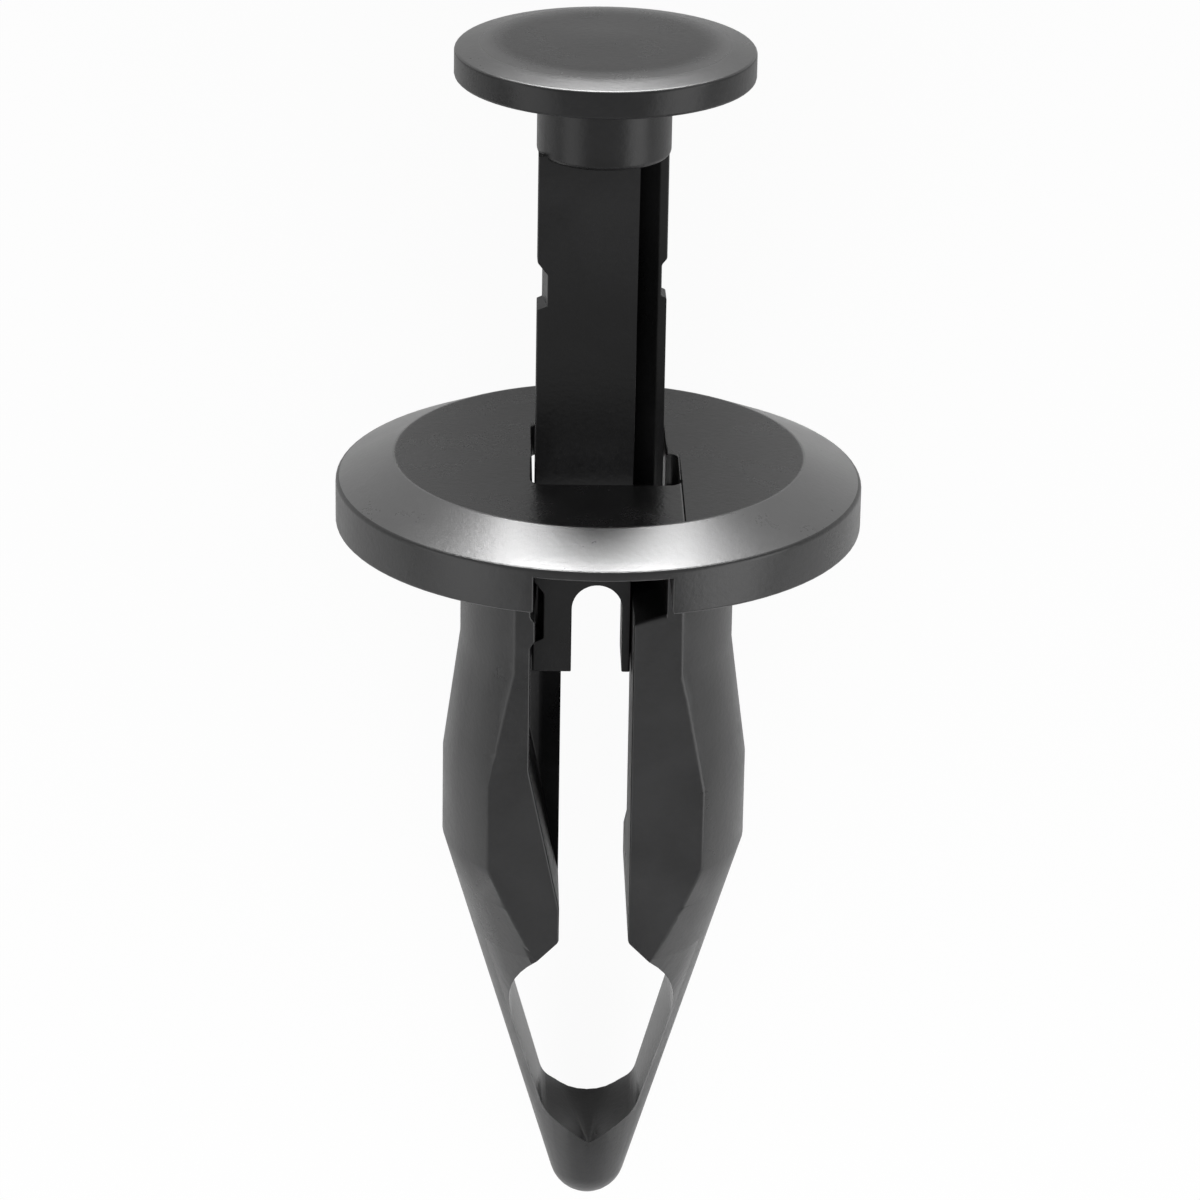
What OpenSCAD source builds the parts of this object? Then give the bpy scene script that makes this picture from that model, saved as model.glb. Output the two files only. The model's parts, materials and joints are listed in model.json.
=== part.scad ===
// Bumper cover retainer: a push-type panel fastener of two nylon mouldings.
// The body goes through the panel hole, and pushing the pin home spreads its two legs behind the panel.
// Each piece is drawn upright on its own axis, with the seat of the flange at height 0, and then laid down.

/* [Flange] */
// Diameter of the flange that bears on the panel
flange_d = 18; // [15:0.1:24]
// Height of the upright rim of the flange
flange_rim_h = 1.55; // [1.4:0.05:2]
// Height of the flange from its seat to its flat top
flange_h = 2.42; // [2.2:0.01:3.5]
// Diameter of the flat top inside the bevel
flange_top_d = 14.1; // [10.5:0.1:14.6]
// Radius on the upper edges of the flange
flange_edge_r = 0.15; // [0.05:0.01:0.3]

/* [Pin opening] */
// Width of the opening and of the slot between the legs, side to side
slot_w = 4.6; // [4.4:0.02:4.8]
// Length of the opening in the flat top, front to back
opening_l = 6; // [5:0.1:7.5]
// Corner radius of the opening
opening_r = 0.4; // [0.2:0.05:0.6]
// Extra width of the opening on the right, in front of the axis
relief_w = 0.4; // [0.2:0.05:0.6]
// Height of the channel that crosses the underside of the flange
channel_h = 1.25; // [0.8:0.05:1.3]

/* [Legs] */
// Diameter of the neck that stands in the panel hole
neck_d = 9.4; // [8.6:0.05:10]
// Length of the straight neck below the seat
neck_l = 4.2; // [2.5:0.1:5.5]
// Diameter across the widest part of the legs
bulge_d = 10.55; // [10.1:0.05:11.2]
// Depth below the seat where the legs reach their widest
bulge_top = 8.5; // [7:0.1:9.5]
// Distance between the flats on the front and back of the legs
flats_w = 7.5; // [7:0.1:8.4]

/* [Nose] */
// Length of the legs and nose below the seat
stem_l = 25.85; // [25:0.05:28]
// Angle between the axis and the side of the nose
nose_angle = 16.6; // [15.5:0.1:17.5]
// Radius of the rounded tip
tip_r = 1.35; // [1:0.05:1.6]
// Thickness of the straps that join the legs at the nose, side to side
strap_t = 0.55; // [0.5:0.05:0.8]
// Angle between the axis and the upper sides of the window between the straps
window_flare = 45; // [40:1:50]
// Radius of the upper corners of the window
window_r = 3; // [2:0.1:3.2]
// Depth below the seat where the straps meet the floor of the window
window_end = 21.95; // [21.4:0.05:22.2]
// Radius where the straps meet the floor
window_foot_r = 1.2; // [0.4:0.1:1.4]
// Drop of the floor of the window from the straps to the crease in its middle, at the front
window_drop = 1.18; // [0.6:0.01:1.3]
// Radius of the crease at the front
crease_r = 0.15; // [0.05:0.01:0.3]
// Drop of the slopes of the floor from the straps to where they would meet, at the back
window_back_drop = 1.38; // [0.8:0.01:1.4]
// Radius between those slopes at the back
window_back_r = 1.5; // [0.5:0.05:1.6]

/* [Grip between the legs] */
// Width of the narrow gap between the legs
gap_w = 2.4; // [2.2:0.05:2.8]
// Depth below the seat where the ramps begin
ramp_top = 7.85; // [6:0.05:9]
// Depth below the seat where the ramps reach the narrow gap
ramp_bottom = 13.05; // [12:0.05:13.6]
// Depth below the seat where the narrow gap opens into the window
gap_end = 14.3; // [14:0.05:15]
// Depth below the seat of the outer edge of the guide blocks
guide_top = 2; // [1.6:0.05:3]
// Drop of the sloping top of the guide blocks
guide_slope = 0.4; // [0.1:0.05:0.8]
// Depth below the seat of the middle of the detent lips
lip_mid = 2.72; // [2.68:0.01:2.8]
// Height of the face of the detent lips
lip_h = 0.75; // [0.4:0.05:0.85]
// Reach of the detent lips into the slot
lip_reach = 0.15; // [0.05:0.01:0.17]
// Height of the slopes above and below the face of the detent lips
lip_lead = 0.15; // [0.05:0.01:0.2]

/* [Pin head] */
// Diameter of the pin head
head_d = 10.1; // [8:0.1:12.5]
// Height of the rim of the pin head
head_rim_h = 0.95; // [0.7:0.05:1.4]
// Width of the sloping ring inside the rim of the head
head_bevel_w = 1.1; // [0.6:0.05:1.4]
// Rise of the sloping ring
head_bevel_h = 0.25; // [0.1:0.01:0.4]
// Rise of the crown inside the sloping ring
head_crown = 0.1; // [0.02:0.01:0.2]
// Radius on the edges of the head
head_edge_r = 0.12; // [0.05:0.01:0.3]

/* [Pin shank] */
// Diameter of the round collar under the head
collar_d = 4.52; // [4:0.02:4.7]
// Length of the collar
collar_l = 2.65; // [2:0.05:3.2]
// Radius on the lower edge of the collar
collar_edge_r = 0.2; // [0.05:0.01:0.3]
// Thickness of the shank, front to back
shank_t = 2.4; // [1.8:0.05:2.6]
// Depth of the sloping floor of the grooves along the shank
groove_depth = 0.6; // [0.3:0.05:0.7]
// Width of the flat rib beside the grooves
groove_rib = 0.3; // [0.25:0.01:0.4]
// Gap between the shank and each side of the slot
side_gap = 0.1; // [0.08:0.01:0.15]
// Gap between the grooves of the shank and the guide blocks, side to side
groove_gap = 0.04; // [0.02:0.01:0.1]
// Gap between the grooves of the shank and the guide blocks, front to back
face_gap = 0.1; // [0.05:0.01:0.2]
// Width of the slot that forks the end of the shank
fork_w = 1.74; // [1.4:0.02:1.9]
// Length of the fork
fork_l = 3.2; // [2.6:0.05:4]

/* [Pin detents] */
// Height of the feet below the lower notches
foot_h = 1.1; // [0.9:0.05:1.3]
// Height of the lower notches
low_notch_h = 2.25; // [2.2:0.05:2.5]
// Height of the upper notches
high_notch_h = 1.7; // [1.2:0.05:2]
// Distance between the lower edges of the lower and upper notches
notch_pitch = 12.05; // [10:0.05:12.5]
// Depth of the notches at the outer face of the shank
notch_depth = 0.35; // [0.3:0.01:0.4]
// Depth of the notches where the two halves of the shank meet
notch_inner = 0.17; // [0.16:0.01:0.25]
// Length of the slope at the lower end of a notch
notch_lead = 0.15; // [0.05:0.01:0.3]
// Length of the slope at the upper end of a notch
notch_fade = 0.45; // [0.1:0.01:0.5]

/* [Position] */
// Height of the underside of the pin head above the flat top of the flange, as supplied
pin_raised = 13.4; // [12:0.1:14]
// Depth of the forked end of the pin below the seat, as supplied
pin_reach = 5.2; // [5.1:0.05:5.4]

/* [Hidden] */
nylon = [0.07, 0.07, 0.075];
nylon_pin = [0.1, 0.1, 0.105];
$fn = 96;
// Steps along a small rounded edge, the tip, the corners of the window and the middle of its floor
edge_steps = 3;
tip_steps = 8;
shoulder_steps = 8;
foot_steps = 5;
floor_steps = 6;
// How far a cutting shape goes past the surface that it cuts
over = 1;
flange_r = flange_d / 2;
flange_top_r = flange_top_d / 2;
neck_r = neck_d / 2;
bulge_r = bulge_d / 2;
slot_x = slot_w / 2;
gap_x = gap_w / 2;
// The tip is a ball, and the side of the nose touches it
nose_rate = tan(nose_angle);
tip_z = tip_r - stem_l;
side_end = [tip_r * cos(nose_angle), tip_z - tip_r * sin(nose_angle)];
bulge_end_z = side_end[1] + (bulge_r - side_end[0]) / nose_rate;
// Inside of the straps, parallel to the side of the nose, and where the flare of the gap meets it
flare_rate = tan(window_flare);
strap_x = bulge_r - bulge_end_z * nose_rate - strap_t;
shoulder_z = (gap_x - gap_end * flare_rate - strap_x) / (nose_rate + flare_rate);
shoulder_x = strap_x + shoulder_z * nose_rate;
window_end_x = strap_x - window_end * nose_rate;
// The pin, measured from the seat
head_z = flange_h + pin_raised;
head_r = head_d / 2;
crown_z = head_z + head_rim_h + head_bevel_h + head_crown;
collar_r = collar_d / 2;
collar_z = head_z - collar_l;
shank_x = slot_x - side_gap;
shank_y = shank_t / 2;
groove_x = gap_x - groove_gap;
groove_rate = groove_depth / (shank_x - groove_rib - groove_x);
fork_r = fork_w / 2;
notch_turn = atan((notch_depth - notch_inner) / shank_y);
low_notch_z = foot_h - pin_reach;
high_notch_z = low_notch_z + notch_pitch;
// On a level surface the seat edge of the flange and the ball of the tip both touch it
lie_reach = norm([flange_r, tip_z]);
lie_tilt = acos(tip_r / lie_reach) - atan2(-tip_z, flange_r);

function unit(v) = v / norm(v);

// Points that round the corner b, between a and c, to the radius r
function rounded(a, b, c, r, steps) =
    let (
        u = unit(a - b),
        w = unit(c - b),
        half = acos(u * w) / 2,
        m = b + unit(u + w) * r / sin(half),
        from = b + u * r / tan(half) - m,
        to = b + w * r / tan(half) - m,
        start = atan2(from[1], from[0]),
        turn = atan2(to[1], to[0]) - start,
        sweep = turn > 180 ? turn - 360 : turn < -180 ? turn + 360 : turn
    )
    [for (i = [0 : steps]) m + r * [cos(start + sweep * i / steps), sin(start + sweep * i / steps)]];

// Turns a piece drawn upright until it lies on its back, with its head raised
module laid_down() {
    rotate([lie_tilt - 90, 0, 0])
        children();
}

// Draws the same shape again after half a turn about the axis
module twice_round() {
    children();
    rotate([0, 0, 180])
        children();
}

// Stands an outline upright and draws it out from y_back towards the front
module upright(y_back, depth) {
    translate([0, y_back, 0])
        rotate([90, 0, 0])
            linear_extrude(height = depth)
                children();
}

// Round flange with its bevelled top
module flange() {
    seat_edge = [flange_r, 0];
    rim_edge = [flange_r, flange_rim_h];
    top_edge = [flange_top_r, flange_h];
    middle = [0, flange_h];
    rotate_extrude()
        polygon(concat(
            [[0, 0], seat_edge],
            rounded(seat_edge, rim_edge, top_edge, flange_edge_r, edge_steps),
            rounded(rim_edge, top_edge, middle, flange_edge_r, edge_steps),
            [middle]
        ));
}

// Neck, bulge and nose, turned all round
module turned_stem() {
    tip = [
        for (i = [1 : tip_steps])
            let (a = -nose_angle - (90 - nose_angle) * i / tip_steps)
                [i == tip_steps ? 0 : tip_r * cos(a), tip_z + tip_r * sin(a)]
    ];
    rotate_extrude()
        polygon(concat(
            [
                [0, channel_h],
                [neck_r, channel_h],
                [neck_r, -neck_l],
                [bulge_r, -bulge_top],
                [bulge_r, bulge_end_z],
                side_end
            ],
            tip
        ));
}

// The stem with the flats on its front and back
module stem() {
    intersection() {
        turned_stem();
        translate([-flange_r, -flats_w / 2, -stem_l - over])
            cube([flange_d, flats_w, stem_l + over + channel_h]);
    }
}

// Upright block with rounded corners, between two opposite corners of its plan
module rounded_block(low, high, r, z, h) {
    size = high - low;
    translate([low[0] + r, low[1], z])
        cube([size[0] - 2 * r, size[1], h]);
    translate([low[0], low[1] + r, z])
        cube([size[0], size[1] - 2 * r, h]);
    for (x = [low[0] + r, high[0] - r], y = [low[1] + r, high[1] - r])
        translate([x, y, z])
            cylinder(r = r, h = h);
}

// Opening in the flat top that the pin goes through, wider at its right in front of the axis
module opening() {
    corner = [slot_x, opening_l / 2];
    rounded_block(-corner, corner, opening_r, 0, flange_h + over);
    rounded_block([0, -corner[1]], [slot_x + relief_w, 0], opening_r, channel_h, flange_h);
}

// Channel across the underside of the flange, from front to back
module channel() {
    translate([-slot_x, -flange_d, -over])
        cube([slot_w, 2 * flange_d, over + channel_h]);
}

// Ridge on the guide block behind, which runs in the sloping groove of the shank
module guide_ridge() {
    clear = face_gap * norm([1, groove_rate]);
    tip_y = clear + groove_gap * groove_rate - groove_depth;
    foot_x = -groove_x - (groove_depth + face_gap - clear) / groove_rate;
    translate([0, 0, -gap_end - over])
        linear_extrude(height = gap_end + over - guide_top - guide_slope)
            polygon([[-gap_x, face_gap + over], [-gap_x, tip_y], [foot_x, face_gap], [foot_x, face_gap + over]]);
}

// Front half of the slot: lip and ramp on one leg, guide block on the other
module half_slot() {
    difference() {
        upright(face_gap, flange_r + face_gap)
            polygon([
                [-slot_x, 0],
                [-slot_x, lip_h / 2 + lip_lead - lip_mid],
                [lip_reach - slot_x, lip_h / 2 - lip_mid],
                [lip_reach - slot_x, -lip_h / 2 - lip_mid],
                [-slot_x, -lip_h / 2 - lip_lead - lip_mid],
                [-slot_x, -ramp_top],
                [-gap_x, -ramp_bottom],
                [-gap_x, -gap_end],
                [gap_x, -gap_end],
                [gap_x, -guide_top - guide_slope],
                [slot_x, -guide_top],
                [slot_x, 0]
            ]);
        guide_ridge();
    }
}

// Outline of the window between the straps, for one drop and radius of its floor
function window_outline(drop, r) =
    let (
        throat = [gap_x, -gap_end],
        shoulder = [shoulder_x, shoulder_z],
        foot = [window_end_x, -window_end],
        middle = [0, -window_end - drop],
        side = concat(
            rounded(throat, shoulder, foot, window_r, shoulder_steps),
            rounded(shoulder, foot, middle, window_foot_r, foot_steps)
        ),
        n = len(side) - 1
    )
    concat(
        [[gap_x, over - gap_end], throat],
        side,
        rounded(foot, middle, [-foot[0], foot[1]], r, floor_steps),
        [for (i = [0 : n]) [-side[n - i][0], side[n - i][1]]],
        [[-gap_x, -gap_end], [-gap_x, over - gap_end]]
    );

// Window right through from front to back, with a creased floor at the front and a round one at the back
module window() {
    creased = window_outline(window_drop, crease_r);
    rounded_off = window_outline(window_back_drop, window_back_r);
    n = len(creased);
    depths = [-flange_r, -window_end_x, window_end_x, flange_r];
    outlines = [creased, creased, rounded_off, rounded_off];
    polyhedron(
        points = [for (i = [0 : 3], p = outlines[i]) [p[0], depths[i], p[1]]],
        faces = concat(
            [[for (j = [0 : n - 1]) j], [for (j = [0 : n - 1]) 4 * n - 1 - j]],
            [
                for (i = [0 : 2], j = [0 : n - 1], half = [0, 1])
                    let (a = i * n + j, b = i * n + (j + 1) % n)
                        half == 0 ? [a, a + n, b + n] : [a, b + n, b]
            ]
        )
    );
}

// Retainer body, one moulding
module body() {
    color(nylon)
        laid_down()
            difference() {
                union() {
                    flange();
                    stem();
                }
                opening();
                channel();
                twice_round()
                    half_slot();
                window();
            }
}

// Head and collar of the pin, turned all round
module turned_head() {
    collar_foot = [collar_r, collar_z];
    collar_top = [collar_r, head_z];
    under_edge = [head_r, head_z];
    rim_edge = [head_r, head_z + head_rim_h];
    ring_edge = [head_r - head_bevel_w, head_z + head_rim_h + head_bevel_h];
    middle = [0, crown_z];
    rotate_extrude()
        polygon(concat(
            [[0, collar_z]],
            rounded([0, collar_z], collar_foot, collar_top, collar_edge_r, edge_steps),
            [collar_top],
            rounded(collar_top, under_edge, rim_edge, head_edge_r, edge_steps),
            rounded(under_edge, rim_edge, ring_edge, head_edge_r, edge_steps),
            [ring_edge, middle]
        ));
}

// Front half of the shank, shifted to one side so that the other side is left as a groove.
// Its back has the sloping floor of the other half's groove.
module half_shank() {
    translate([0, 0, -pin_reach])
        linear_extrude(height = pin_reach + collar_z + collar_edge_r)
            polygon([
                [-shank_x, -shank_y],
                [groove_x, -shank_y],
                [groove_x, 0],
                [-groove_x, 0],
                [-groove_x, -groove_depth],
                [groove_rib - shank_x, 0],
                [-shank_x, 0]
            ]);
}

// Detent notch in the outer edge of the front half of the shank, deeper towards the front
module notch(z, h) {
    translate([-shank_x + notch_inner, 0, z])
        rotate([0, 0, notch_turn])
            upright(over, shank_y + 2 * over)
                polygon([
                    [-notch_depth - over, -notch_lead * over / notch_depth],
                    [-notch_depth, 0],
                    [0, notch_lead],
                    [0, h - notch_fade],
                    [-notch_depth, h],
                    [-notch_depth - over, h + notch_fade * over / notch_depth]
                ]);
}

// Slot that forks the end of the shank
module fork() {
    top = fork_l - fork_r - pin_reach;
    translate([-fork_r, -shank_t, -pin_reach - over])
        cube([fork_w, 2 * shank_t, top + pin_reach + over]);
    translate([0, shank_t, top])
        rotate([90, 0, 0])
            cylinder(r = fork_r, h = 2 * shank_t);
}

// Push pin, one moulding
module pin() {
    color(nylon_pin)
        laid_down()
            difference() {
                union() {
                    turned_head();
                    twice_round()
                        half_shank();
                }
                twice_round()
                    intersection() {
                        union() {
                            notch(low_notch_z, low_notch_h);
                            notch(high_notch_z, high_notch_h);
                        }
                        translate([-slot_w, -shank_t, -pin_reach])
                            cube([slot_w, shank_t, pin_reach + collar_z]);
                    }
                fork();
            }
}

body();
pin();
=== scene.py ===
# %% [markdown]
# # Bumper cover retainer
# A push-type panel fastener of two black nylon mouldings: a body with a round flange
# and two spreading legs, and a pin that is pushed in to spread them.
# The solids come from the CAD model and keep its sizes. This lesson gives them
# the soft edges and the satin skin that moulded nylon has, and lights them
# as a small part is photographed: lying on a white table, seen from above.

import json
import math

import bmesh
import bpy
from mathutils import Matrix, Vector
from mathutils.bvhtree import BVHTree


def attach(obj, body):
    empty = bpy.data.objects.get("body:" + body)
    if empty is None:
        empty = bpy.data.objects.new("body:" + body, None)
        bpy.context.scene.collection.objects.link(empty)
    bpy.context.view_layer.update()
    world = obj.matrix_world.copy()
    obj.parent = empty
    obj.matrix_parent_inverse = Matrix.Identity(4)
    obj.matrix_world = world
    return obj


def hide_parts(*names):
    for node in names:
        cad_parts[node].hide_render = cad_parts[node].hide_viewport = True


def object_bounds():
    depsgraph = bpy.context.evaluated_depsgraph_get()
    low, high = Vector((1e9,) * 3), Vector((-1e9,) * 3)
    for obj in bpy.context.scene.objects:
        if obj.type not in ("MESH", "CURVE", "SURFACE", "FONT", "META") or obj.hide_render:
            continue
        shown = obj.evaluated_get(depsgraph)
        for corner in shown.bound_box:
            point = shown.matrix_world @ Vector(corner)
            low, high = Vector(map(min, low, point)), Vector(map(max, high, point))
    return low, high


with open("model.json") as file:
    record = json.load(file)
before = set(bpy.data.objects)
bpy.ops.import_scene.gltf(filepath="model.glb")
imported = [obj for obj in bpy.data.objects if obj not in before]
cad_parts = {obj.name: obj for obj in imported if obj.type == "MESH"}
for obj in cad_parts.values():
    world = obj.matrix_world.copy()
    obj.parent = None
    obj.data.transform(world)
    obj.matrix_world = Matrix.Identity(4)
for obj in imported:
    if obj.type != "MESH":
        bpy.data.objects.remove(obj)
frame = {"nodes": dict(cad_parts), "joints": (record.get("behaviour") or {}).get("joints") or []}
cad_low, cad_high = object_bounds()
MM = 0.001
print("CAD box in mm:", [round(v / MM, 2) for v in cad_high - cad_low])

# %% [markdown]
# ## The retainer's own axes
# The retainer lies on the edge of its flange and on its tip, so its axis is not level.
# Lengths along the axis are easier to think in, so one helper turns a place given
# across, behind and along the retainer, in millimetres, into the frame's metres.
# The tilt could be typed in, but it is read from the pin's slide, so it stays true
# if the flange or the nose changes.

# %% Find the axis
push = Vector(frame["joints"][0]["axis"]).normalized()
to_head = -push
across = Vector((1.0, 0.0, 0.0))
to_back = to_head.cross(across)
tilt = math.asin(to_head.z)


def place(x, y, z):
    """A point x across, y behind and z along the axis above the seat, in mm."""
    return (across * x + to_back * y + to_head * z) * MM


print("axis rises by", round(math.degrees(tilt), 2), "degrees")

# %% [markdown]
# ## Soft edges
# A mould leaves no knife edge: every corner of the nylon has a small radius, and these
# radii are what catches the light. A shader trick could fake them, but real geometry
# is part of the mesh itself. So each solid is copied, the triangles of its flat faces
# are joined, and a Bevel modifier rounds the edges that turn sharply. The dome of
# the head and the bevel of the flange are left out of the joining: it would drop points
# from their rings and leave marks in the shine.

# %% Helper that copies a solid and joins its flat faces
WELD = 0.005 * MM
FLAT_ANGLE = math.radians(0.02)


def joined_copy(node, turned_mm):
    """A mesh to edit, copied from a CAD node, with the triangles of its flat faces joined.

    Between the two heights of turned_mm along the axis, the surface is round and keeps its points.
    """
    turned_low, turned_high = turned_mm

    def is_flat(point):
        along = point.co.dot(to_head) / MM
        return along < turned_low or along > turned_high

    solid = bmesh.new()
    solid.from_mesh(frame["nodes"][node].data)
    bmesh.ops.remove_doubles(solid, verts=solid.verts, dist=WELD)
    flat_points = [point for point in solid.verts if is_flat(point)]
    flat_edges = [edge for edge in solid.edges if all(is_flat(point) for point in edge.verts)]
    bmesh.ops.dissolve_limit(
        solid, angle_limit=FLAT_ANGLE, verts=flat_points, edges=flat_edges)
    for face in solid.faces:
        face.smooth = True
    solid.normal_update()
    return solid


# %% [markdown]
# ## Which edges have room
# The Bevel modifier can limit its own width, but it then takes the width of the tightest corner
# for the whole piece, and the tiny faces near the nose would leave every edge sharp.
# So the edges are chosen here: one is rounded if the faces beside it are wide enough, and if
# the rounded skin doesn't fold over itself along it. The others stay crisp, and so do all those
# around the window and the nose, whose facets are too fine to round evenly. A Weld modifier
# then takes away the few edges of no length that the rounding leaves at its corners.

# %% Helper that measures the room beside an edge
def room_beside(edge):
    """The least distance from an edge to the far side of one of its two faces."""
    start = edge.verts[0].co
    line = (edge.verts[1].co - start).normalized()

    def off_line(point):
        way = point.co - start
        return (way - line * way.dot(line)).length

    return min(max(off_line(point) for point in face.verts) for face in edge.link_faces)


# %% Helpers that find where a skin folds over itself
FOLD_REACH = 0.15 * MM
FOLD_STEP = 0.1 * MM


def fold_points(piece):
    """The centres of faces of a piece, modifiers included, that cut each other."""
    skin = bmesh.new()
    skin.from_object(piece, bpy.context.evaluated_depsgraph_get())
    bmesh.ops.triangulate(skin, faces=skin.faces)
    skin.faces.ensure_lookup_table()
    tree = BVHTree.FromBMesh(skin)
    centres = []
    for first, second in tree.overlap(tree):
        face, other = skin.faces[first], skin.faces[second]
        if not set(face.verts) & set(other.verts):
            centres.append(face.calc_center_median())
    skin.free()
    return centres


def runs_past(edge, spots):
    """True if an edge runs close past one of the spots."""
    start, end = (point.co for point in edge.verts)
    steps = 2 + int((end - start).length / FOLD_STEP)
    stops = (start.lerp(end, step / steps) for step in range(steps + 1))
    return any((stop - spot).length < FOLD_REACH for stop in stops for spot in spots)


# %% [markdown]
# ## Even shading
# A flat face must shine evenly up to its edge, and a round one must not show its facets.
# The Weighted Normal modifier does this around an edge that is rounded all along, but where
# a rounded edge runs into a crisp one it tilts the shading of the flat faces beside it.
# So each corner of each face gets its normal here: the mean of the faces around that point
# that turn little from it, the larger ones counting more.

# %% Helper that shades flat faces flat and round ones round
BLEND_ANGLE = math.radians(36.0)


def shade_evenly(mesh):
    """Gives each corner of a mesh the mean normal of the faces there that turn little."""
    around = [[] for _ in mesh.vertices]
    for face in mesh.polygons:
        points = [mesh.vertices[index].co for index in face.vertices]
        for index, point in enumerate(points):
            before = points[index - 1] - point
            after = points[(index + 1) % len(points)] - point
            share = face.area * before.angle(after, 0.0)
            around[face.vertices[index]].append((face.normal.copy(), share))
    least = math.cos(BLEND_ANGLE)
    normals = [Vector()] * len(mesh.loops)
    for face in mesh.polygons:
        facing = face.normal.copy()
        for corner, vertex in zip(face.loop_indices, face.vertices):
            mean = Vector()
            for normal, share in around[vertex]:
                if normal.dot(facing) > least:
                    mean += normal * share
            normals[corner] = mean.normalized()
    mesh.normals_split_custom_set(normals)


# %% Helper that rounds the edges of a moulding
SHARP_ANGLE = math.radians(24.0)
ROOM_IN_RADII = 2.2
EDGE_STEPS = 3
FINE_BELOW = -14.5
CLOSE_UP = 0.0005 * MM


def moulded_copy(node, name, radius_mm, turned_mm):
    """A copy of a CAD node whose sharp edges are rounded where they have room."""
    solid = joined_copy(node, turned_mm)
    rounded = solid.edges.layers.float.new("bevel_weight_edge")
    sharp = [edge for edge in solid.edges if edge.calc_face_angle(0.0) > SHARP_ANGLE]
    for edge in sharp:
        wide = room_beside(edge) > ROOM_IN_RADII * radius_mm * MM
        lowest = min(point.co.dot(to_head) for point in edge.verts)
        edge[rounded] = float(wide and lowest > FINE_BELOW * MM)

    mesh = bpy.data.meshes.new(name)
    piece = bpy.data.objects.new(name, mesh)
    bpy.context.scene.collection.objects.link(piece)
    soft = piece.modifiers.new("soft_edges", "BEVEL")
    soft.width = radius_mm * MM
    soft.segments = EDGE_STEPS
    soft.limit_method = "WEIGHT"
    soft.miter_outer = "MITER_ARC"
    soft.use_clamp_overlap = False

    solid.to_mesh(mesh)
    folds = fold_points(piece)
    for edge in sharp:
        if edge[rounded] and runs_past(edge, folds):
            edge[rounded] = 0.0
    solid.to_mesh(mesh)
    length = sum(edge.calc_length() for edge in sharp if edge[rounded]) / MM
    solid.free()

    close = piece.modifiers.new("close_up", "WELD")
    close.merge_threshold = CLOSE_UP
    graph = bpy.context.evaluated_depsgraph_get()
    piece.data = bpy.data.meshes.new_from_object(piece.evaluated_get(graph))
    piece.modifiers.clear()
    bpy.data.meshes.remove(mesh)
    piece.data.name = name
    shade_evenly(piece.data)
    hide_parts(node)
    print(name, "has", round(length), "mm of rounded edges, and", len(fold_points(piece)), "folds")
    return piece


# %% Round the two mouldings
BODY_BEVEL = (1.4, 2.418)
BODY_RADIUS = 0.09
PIN_DOME = (16.0, 20.0)
PIN_RADIUS = 0.05
body = moulded_copy("body", "body_moulding", BODY_RADIUS, BODY_BEVEL)
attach(body, "retainer")
pin = moulded_copy("pin", "pin_moulding", PIN_RADIUS, PIN_DOME)
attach(pin, "push_pin")

# %% [markdown]
# ## Where on the part
# Some finishes belong to one place only: the flat tops, the bevel around them, the inside of
# the window. A material can ask for a place in the object's own coordinates, but these
# lie in the frame's directions. So a node group turns them into
# millimetres across, behind, along and out from the part's axis, and both materials use it.

# %% Helpers for node trees
def socket(group, name, kind, way, value=None):
    """A named input or output of a node group."""
    made = group.interface.new_socket(name=name, in_out=way, socket_type=kind)
    if value is not None:
        made.default_value = value
    return made


def math_node(tree, operation, first, second=None):
    """A Math node between two sockets or numbers. Returns its result."""
    node = tree.nodes.new("ShaderNodeMath")
    node.operation = operation
    for place_in, source in zip(node.inputs, (first, second)):
        if isinstance(source, (int, float)):
            place_in.default_value = source
        elif source is not None:
            tree.links.new(source, place_in)
    return node.outputs["Value"]


def both(tree, first, second):
    """A mask that is 1 where two masks are."""
    return math_node(tree, "MULTIPLY", first, second)


# %% Node group: place along and around the axis
axes_group = bpy.data.node_groups.new("part_axes", "ShaderNodeTree")
for name in ("Across", "Behind", "Along", "Outward"):
    socket(axes_group, name, "NodeSocketFloat", "OUTPUT")
result = axes_group.nodes.new("NodeGroupOutput")
where = axes_group.nodes.new("ShaderNodeTexCoord")
found = {}
for name, direction in (("Across", across), ("Behind", to_back), ("Along", to_head)):
    measure = axes_group.nodes.new("ShaderNodeVectorMath")
    measure.operation = "DOT_PRODUCT"
    measure.inputs[1].default_value = direction / MM
    axes_group.links.new(where.outputs["Object"], measure.inputs[0])
    found[name] = measure.outputs["Value"]
    axes_group.links.new(found[name], result.inputs[name])
squares = math_node(
    axes_group, "ADD",
    math_node(axes_group, "POWER", found["Across"], 2.0),
    math_node(axes_group, "POWER", found["Behind"], 2.0))
axes_group.links.new(math_node(axes_group, "SQRT", squares), result.inputs["Outward"])
print("part_axes has", len(axes_group.nodes), "nodes")

# %% [markdown]
# ## The moulded skin
# Close up, moulded nylon is a satin black with a very fine grain that the spark-eroded
# steel of the mould leaves, and slow changes of gloss where the melt cooled unevenly.
# One noise could drive both, but they differ a lot in size, so a fine noise is the grain
# and a slow one is the gloss. Both pieces share this skin, so it is one node group.

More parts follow.
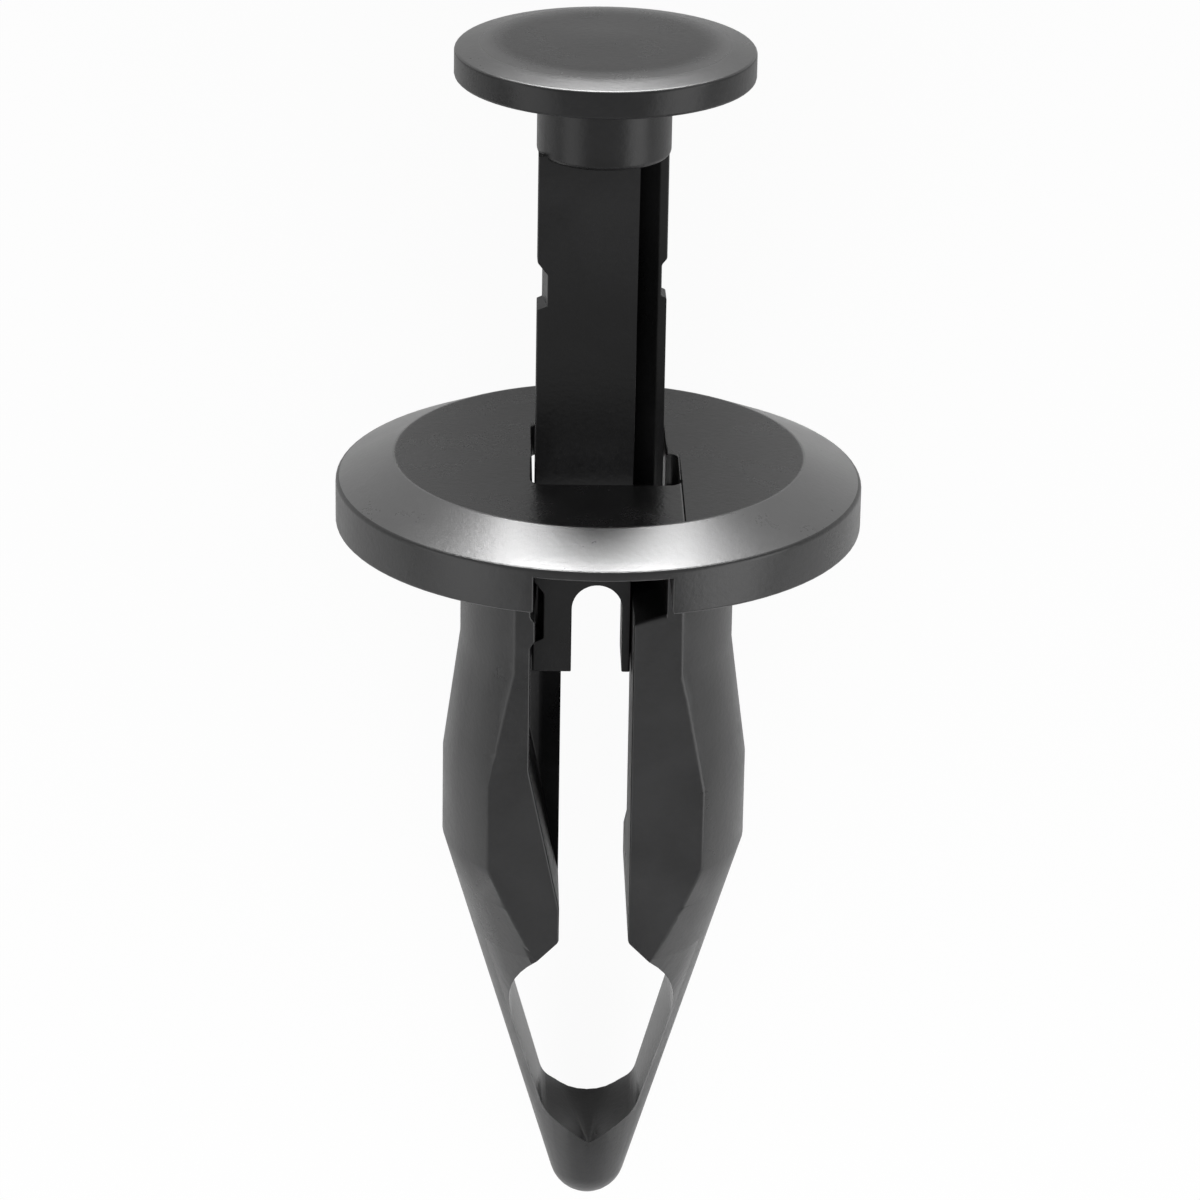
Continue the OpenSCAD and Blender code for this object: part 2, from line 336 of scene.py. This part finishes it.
# %% Node group: inputs and outputs of the skin
skin_group = bpy.data.node_groups.new("moulded_skin", "ShaderNodeTree")
socket(skin_group, "Grain Size", "NodeSocketFloat", "INPUT", 5200.0)
socket(skin_group, "Gloss Low", "NodeSocketFloat", "INPUT", 0.26)
socket(skin_group, "Gloss High", "NodeSocketFloat", "INPUT", 0.38)
socket(skin_group, "Polish", "NodeSocketFloat", "INPUT", 0.0)
socket(skin_group, "Dark", "NodeSocketColor", "INPUT", (0.005, 0.005, 0.005, 1.0))
socket(skin_group, "Light", "NodeSocketColor", "INPUT", (0.012, 0.012, 0.012, 1.0))
socket(skin_group, "Color", "NodeSocketColor", "OUTPUT")
socket(skin_group, "Roughness", "NodeSocketFloat", "OUTPUT")
socket(skin_group, "Height", "NodeSocketFloat", "OUTPUT")
print("moulded_skin has", len(skin_group.interface.items_tree), "sockets")

# %% The fine grain and the slow flow
GRAIN_DETAIL = 2.0
GRAIN_ROUGHNESS = 0.6
FLOW_SCALE = 320.0
FLOW_DETAIL = 4.0
FLOW_SWIRL = 0.6
GRAIN_IN_FLOW = 0.35
nodes, links = skin_group.nodes, skin_group.links
given = nodes.new("NodeGroupInput")
result = nodes.new("NodeGroupOutput")
where = nodes.new("ShaderNodeTexCoord")

grain = nodes.new("ShaderNodeTexNoise")
grain.inputs["Detail"].default_value = GRAIN_DETAIL
grain.inputs["Roughness"].default_value = GRAIN_ROUGHNESS
links.new(where.outputs["Object"], grain.inputs["Vector"])
links.new(given.outputs["Grain Size"], grain.inputs["Scale"])
links.new(grain.outputs["Fac"], result.inputs["Height"])

flow = nodes.new("ShaderNodeTexNoise")
flow.inputs["Scale"].default_value = FLOW_SCALE
flow.inputs["Detail"].default_value = FLOW_DETAIL
flow.inputs["Distortion"].default_value = FLOW_SWIRL
links.new(where.outputs["Object"], flow.inputs["Vector"])
grain_part = math_node(skin_group, "MULTIPLY", grain.outputs["Fac"], GRAIN_IN_FLOW)
unevenness = math_node(skin_group, "ADD", grain_part, flow.outputs["Fac"])
print("flow patches are about", round(1.0 / FLOW_SCALE / MM, 1), "mm across")

# %% From unevenness to gloss and colour
UNEVEN_LOW, UNEVEN_HIGH = 0.45, 0.90


def spread_out(low=None, high=None):
    """The unevenness stretched to between two of the group's inputs, or to 0 and 1."""
    stretch = nodes.new("ShaderNodeMapRange")
    stretch.inputs["From Min"].default_value = UNEVEN_LOW
    stretch.inputs["From Max"].default_value = UNEVEN_HIGH
    links.new(unevenness, stretch.inputs["Value"])
    if low and high:
        links.new(given.outputs[low], stretch.inputs["To Min"])
        links.new(given.outputs[high], stretch.inputs["To Max"])
    return stretch.outputs["Result"]


left_rough = math_node(skin_group, "SUBTRACT", 1.0, given.outputs["Polish"])
rough = math_node(skin_group, "MULTIPLY", spread_out("Gloss Low", "Gloss High"), left_rough)
links.new(rough, result.inputs["Roughness"])
tone = nodes.new("ShaderNodeMix")
tone.data_type = "RGBA"
links.new(spread_out(), tone.inputs["Factor"])
links.new(given.outputs["Dark"], tone.inputs["A"])
links.new(given.outputs["Light"], tone.inputs["B"])
links.new(tone.outputs["Result"], result.inputs["Color"])
print("moulded_skin has", len(nodes), "nodes")

# %% [markdown]
# ## Tops and their bright rings
# The head and the flange each have a flat top that the mould leaves smoother, and around it
# a bevel or a soft edge that handling has burnished, so it shines more. Separate meshes
# could carry these finishes, but they would show seams, so masks by place do it: one group
# gives the polish of the top and the gloss of the ring, and each material sets its sizes.

# %% Node group: flat top and ring
top_group = bpy.data.node_groups.new("top_finish", "ShaderNodeTree")
TOP_INPUTS = (
    "Top Along", "Top Outward", "Top Polish", "Ring Along", "Ring Fade", "Ring Gloss")
for name in TOP_INPUTS:
    socket(top_group, name, "NodeSocketFloat", "INPUT", 0.0)
for name in ("Polish", "Ring"):
    socket(top_group, name, "NodeSocketFloat", "OUTPUT")
given = top_group.nodes.new("NodeGroupInput")
result = top_group.nodes.new("NodeGroupOutput")
axes = top_group.nodes.new("ShaderNodeGroup")
axes.node_tree = axes_group
height, radius = axes.outputs["Along"], axes.outputs["Outward"]

on_top = both(
    top_group,
    math_node(top_group, "GREATER_THAN", height, given.outputs["Top Along"]),
    math_node(top_group, "LESS_THAN", radius, given.outputs["Top Outward"]))
polish = math_node(top_group, "MULTIPLY", on_top, given.outputs["Top Polish"])
top_group.links.new(polish, result.inputs["Polish"])

outside = top_group.nodes.new("ShaderNodeMapRange")
outside.interpolation_type = "SMOOTHSTEP"
fade_start = math_node(
    top_group, "SUBTRACT", given.outputs["Top Outward"], given.outputs["Ring Fade"])
top_group.links.new(radius, outside.inputs["Value"])
top_group.links.new(fade_start, outside.inputs["From Min"])
top_group.links.new(given.outputs["Top Outward"], outside.inputs["From Max"])
top_group.links.new(given.outputs["Ring Gloss"], outside.inputs["To Max"])
raised = math_node(top_group, "GREATER_THAN", height, given.outputs["Ring Along"])
top_group.links.new(both(top_group, outside.outputs["Result"], raised), result.inputs["Ring"])
print("top_finish has", len(top_group.nodes), "nodes")

# %% [markdown]
# ## Two blacks
# The body and the pin are shot in different moulds, and the pin comes out a little darker
# and less shiny. Each gets its own material around the shared skin and the shared top.
# The grain is far too fine to model, so it goes through a Bump node. The ring's gloss
# is a clear coat, because a coat adds shine without changing the satin below it.

# %% Helper that makes a black nylon
GRAIN_RELIEF = 0.012 * MM
NYLON_IOR = 1.5
RING_ROUGHNESS = 0.3
RING_IOR = 1.9


def nylon(name, dark, light, bump, specular, top):
    """Black nylon around the shared skin. Returns the material and its main nodes."""
    material = bpy.data.materials.new(name)
    material.use_nodes = True
    tree = material.node_tree
    shader = tree.nodes["Principled BSDF"]
    shader.inputs["IOR"].default_value = NYLON_IOR
    shader.inputs["Specular IOR Level"].default_value = specular
    shader.inputs["Coat Roughness"].default_value = RING_ROUGHNESS
    shader.inputs["Coat IOR"].default_value = RING_IOR
    skin = tree.nodes.new("ShaderNodeGroup")
    skin.node_tree = skin_group
    skin.inputs["Dark"].default_value = (*dark, 1.0)
    skin.inputs["Light"].default_value = (*light, 1.0)
    finish = tree.nodes.new("ShaderNodeGroup")
    finish.node_tree = top_group
    for key, value in top.items():
        finish.inputs[key].default_value = value
    relief = tree.nodes.new("ShaderNodeBump")
    relief.inputs["Strength"].default_value = bump
    relief.inputs["Distance"].default_value = GRAIN_RELIEF
    tree.links.new(finish.outputs["Polish"], skin.inputs["Polish"])
    tree.links.new(finish.outputs["Ring"], shader.inputs["Coat Weight"])
    tree.links.new(skin.outputs["Color"], shader.inputs["Base Color"])
    tree.links.new(skin.outputs["Roughness"], shader.inputs["Roughness"])
    tree.links.new(skin.outputs["Height"], relief.inputs["Height"])
    tree.links.new(relief.outputs["Normal"], shader.inputs["Normal"])
    print(name, "has", len(tree.nodes), "nodes")
    return material, skin, finish, relief


# %% Nylon of the pin
PIN_TOP = {
    "Top Along": 16.6, "Top Outward": 4.2, "Top Polish": 0.2,
    "Ring Along": 16.74, "Ring Fade": 1.0, "Ring Gloss": 0.5}
pin_nylon, *_ = nylon(
    "pin_nylon", (0.0033, 0.0033, 0.0035), (0.0083, 0.0083, 0.0087),
    bump=0.6, specular=0.5, top=PIN_TOP)
pin.data.materials.append(pin_nylon)

# %% Nylon of the body
BODY_TOP = {
    "Top Along": 2.35, "Top Outward": 7.0, "Top Polish": 0.2,
    "Ring Along": 1.6, "Ring Fade": 0.05, "Ring Gloss": 0.75}
body_nylon, body_skin, body_finish, body_relief = nylon(
    "body_nylon", (0.005, 0.005, 0.0052), (0.0117, 0.0117, 0.0122),
    bump=0.65, specular=0.77, top=BODY_TOP)
body.data.materials.append(body_nylon)

# %% [markdown]
# ## Polished inside of the window
# The window near the nose is formed by a steel core that slides out of the mould, and such
# a core is polished so that it lets go. The walls of the two straps beside the window are
# therefore smoother than the grained outside. A mask picks them: between two heights, and
# nearer to the axis than the sloping wall.

# %% Polish of the strap walls
CORE_POLISH = 0.6
STRAP_LOW, STRAP_HIGH = -22.0, -15.0
WALL_SLOPE = 0.2981
WALL_ACROSS = 8.162
WALL_MARGIN = 0.06
tree = body_nylon.node_tree
body_axes = tree.nodes.new("ShaderNodeGroup")
body_axes.node_tree = axes_group
sideways = math_node(tree, "ABSOLUTE", body_axes.outputs["Across"])
height = body_axes.outputs["Along"]

wall = math_node(
    tree, "ADD", math_node(tree, "MULTIPLY", height, WALL_SLOPE), WALL_ACROSS + WALL_MARGIN)
beside_window = both(
    tree,
    math_node(tree, "GREATER_THAN", height, STRAP_LOW),
    math_node(tree, "LESS_THAN", height, STRAP_HIGH))
straps = both(tree, math_node(tree, "LESS_THAN", sideways, wall), beside_window)
core_polish = math_node(tree, "MULTIPLY", straps, CORE_POLISH)
top_or_core = math_node(tree, "MAXIMUM", body_finish.outputs["Polish"], core_polish)
tree.links.new(top_or_core, body_skin.inputs["Polish"])
print("strap walls are polished from", STRAP_LOW, "to", STRAP_HIGH, "mm along the axis")

# %% [markdown]
# ## Joint line
# Where two blocks of the mould meet, the nylon keeps a hair line. One crosses the flat top
# in front of the wide end of the opening. It is a tenth of a millimetre wide,
# too fine for the solid, so it is cut into the height that the Bump node reads.

# %% Joint line of the flat top
JOINT_ACROSS = 2.72
JOINT_HALF_WIDTH = 0.05
JOINT_DEPTH = 4.0
off_line = math_node(
    tree, "ABSOLUTE",
    math_node(tree, "SUBTRACT", body_axes.outputs["Across"], JOINT_ACROSS))
notch = math_node(tree, "SUBTRACT", 1.0, math_node(tree, "DIVIDE", off_line, JOINT_HALF_WIDTH))
notch = math_node(tree, "MAXIMUM", notch, 0.0)
in_front = math_node(tree, "LESS_THAN", body_axes.outputs["Behind"], 0.0)
on_flat = math_node(tree, "GREATER_THAN", body_finish.outputs["Polish"], 0.0)
joint = both(tree, notch, both(tree, in_front, on_flat))
lowered = math_node(tree, "MULTIPLY", joint, JOINT_DEPTH)
lined = math_node(tree, "SUBTRACT", body_skin.outputs["Height"], lowered)
tree.links.new(lined, body_relief.inputs["Height"])
print("body_nylon has", len(tree.nodes), "nodes in the end")

# %% [markdown]
# ## White table
# The part lies on a white table. A bright lamp could burn the table out to white, but it would
# spoil the black part too. So for what the camera sees, the table glows plain white
# with a little of its real shading left in: it stays white to the edge of the picture and
# keeps the part's shadow. Reflections see mostly the real shading, with a little of the white.

# %% Table
TABLE_SIDE = 1.2
TABLE_GREY = 0.6
SEEN_SHARE = 0.95
MIRRORED_SHARE = 0.09
bpy.ops.mesh.primitive_plane_add(size=TABLE_SIDE, location=(0.0, 0.0, cad_low.z))
table = bpy.context.object
table.name = "table"
table_white = bpy.data.materials.new("table_white")
table_white.use_nodes = True
tree = table_white.node_tree
tree.nodes.clear()
end = tree.nodes.new("ShaderNodeOutputMaterial")
paper = tree.nodes.new("ShaderNodeBsdfDiffuse")
paper.inputs["Color"].default_value = (TABLE_GREY, TABLE_GREY, TABLE_GREY, 1.0)
glow = tree.nodes.new("ShaderNodeEmission")
glow.inputs["Color"].default_value = (1.0, 1.0, 1.0, 1.0)
glow.inputs["Strength"].default_value = 1.0
path = tree.nodes.new("ShaderNodeLightPath")
seen = math_node(tree, "MULTIPLY", path.outputs["Is Camera Ray"], SEEN_SHARE)
reflected = math_node(
    tree, "MAXIMUM", path.outputs["Is Glossy Ray"], path.outputs["Is Transmission Ray"])
reflected = math_node(tree, "MULTIPLY", reflected, MIRRORED_SHARE)
mix = tree.nodes.new("ShaderNodeMixShader")
tree.links.new(math_node(tree, "MAXIMUM", seen, reflected), mix.inputs["Fac"])
tree.links.new(paper.outputs["BSDF"], mix.inputs[1])
tree.links.new(glow.outputs["Emission"], mix.inputs[2])
tree.links.new(mix.outputs["Shader"], end.inputs["Surface"])
table.data.materials.append(table_white)
print("table lies at", round(cad_low.z / MM, 2), "mm")

# %% [markdown]
# ## Light
# Black nylon is lit by what it mirrors. A long low softbox stands well beyond the head, and its
# reflection is the bright band on the bevel of the flange. A small card close behind
# the head gives the streak on the head's front edge. One big box near the head could do both,
# but from behind the flat tops would mirror it and look like metal. These two are kept
# out of the table's light. Two more stand at the sides, and their reflections run down
# the round sides of the legs. A low one in front of the nose lights the table beside the legs,
# and is kept out of the reflections. Together they are as strong as plain daylight:
# a grey card that faces the camera looks about as grey as it is.

# %% Helper that hangs a softbox
floor_z = cad_low.z


def softbox(name, position, aim, size, radiance, spread=180.0):
    """A rectangular light, given by how bright it looks, not by its power."""
    light = bpy.data.lights.new(name, "AREA")
    light.shape = "RECTANGLE"
    light.size, light.size_y = size
    light.energy = math.pi * size[0] * size[1] * radiance
    light.spread = math.radians(spread)
    lamp = bpy.data.objects.new(name, light)
    lamp.location = position
    facing = Vector(aim) - Vector(position)
    lamp.rotation_euler = facing.to_track_quat("-Z", "Y").to_euler()
    bpy.context.scene.collection.objects.link(lamp)
    print(name, round(light.energy, 3), "W")
    return lamp


# %% Softboxes
end_softbox = softbox(
    "end_softbox", (0.0, 0.25, floor_z + 0.034), (0.0, 0.0, floor_z + 0.017),
    size=(0.16, 0.04), radiance=5.2, spread=70.0)
head_card = softbox(
    "head_card", (0.0, 0.054, floor_z + 0.006), (0.0, 0.015, floor_z + 0.018),
    size=(0.035, 0.010), radiance=4.6, spread=120.0)
for lamp in (end_softbox, head_card):
    lamp.visible_diffuse = False
SIDE_SIZE = (0.28, 0.14)
for name, side, radiance in (("left_softbox", -0.20, 0.8), ("right_softbox", 0.20, 1.45)):
    softbox(name, (side, -0.03, floor_z + 0.11), (0.0, -0.01, 0.0), SIDE_SIZE, radiance)
tip_softbox = softbox(
    "tip_softbox", (0.0, -0.14, floor_z + 0.07), (0.0, -0.01, floor_z),
    size=(0.20, 0.06), radiance=5.4, spread=120.0)
tip_softbox.visible_glossy = False

# %% Room and view
ROOM_LIGHT = 0.43
world = bpy.data.worlds.new("room")
world.use_nodes = True
sky = world.node_tree.nodes["Background"]
sky.inputs["Color"].default_value = (1.0, 1.0, 1.0, 1.0)
sky.inputs["Strength"].default_value = ROOM_LIGHT
bpy.context.scene.world = world
bpy.context.scene.view_settings.view_transform = "Standard"
print("room light", ROOM_LIGHT)

# %% [markdown]
# ## Camera
# The photograph looks down on the part from about two hand widths away, a few degrees
# off the vertical towards the head, so the flange shows as an ellipse and the head is
# seen a little flatter than the flange. The picture is turned by one degree.

# %% Camera
LOOK_AT_ALONG = -3.0
VIEW_RISE = math.radians(22.0)
VIEW_TURN = math.radians(-1.5)
PICTURE_ROLL = math.radians(1.0)
DISTANCE_MM = 193.0
FOCAL_PIXELS = 5586.0
PICTURE_PIXELS = 1200.0
SENSOR_MM = 36.0
SIDE_STEP_MM = 0.124
NEAREST_MM = 5.0

turn = Matrix.Rotation(VIEW_TURN, 3, to_head)
outward = turn @ (-to_back * math.cos(VIEW_RISE) + to_head * math.sin(VIEW_RISE))
camera_data = bpy.data.cameras.new("photo_camera")
camera_data.sensor_width = SENSOR_MM
camera_data.lens = FOCAL_PIXELS / PICTURE_PIXELS * SENSOR_MM
camera_data.clip_start = NEAREST_MM * MM
camera = bpy.data.objects.new("photo_camera", camera_data)
right = to_head.cross(outward).normalized()
upward = outward.cross(right).normalized()
basis = Matrix((right, upward, outward)).transposed() @ Matrix.Rotation(PICTURE_ROLL, 3, "Z")
position = place(0.0, 0.0, LOOK_AT_ALONG) + (outward * DISTANCE_MM + right * SIDE_STEP_MM) * MM
camera.matrix_world = Matrix.Translation(position) @ basis.to_4x4()
bpy.context.scene.collection.objects.link(camera)
bpy.context.scene.camera = camera
print("camera at", [round(v / MM, 1) for v in position], "mm, lens", round(camera_data.lens, 1))
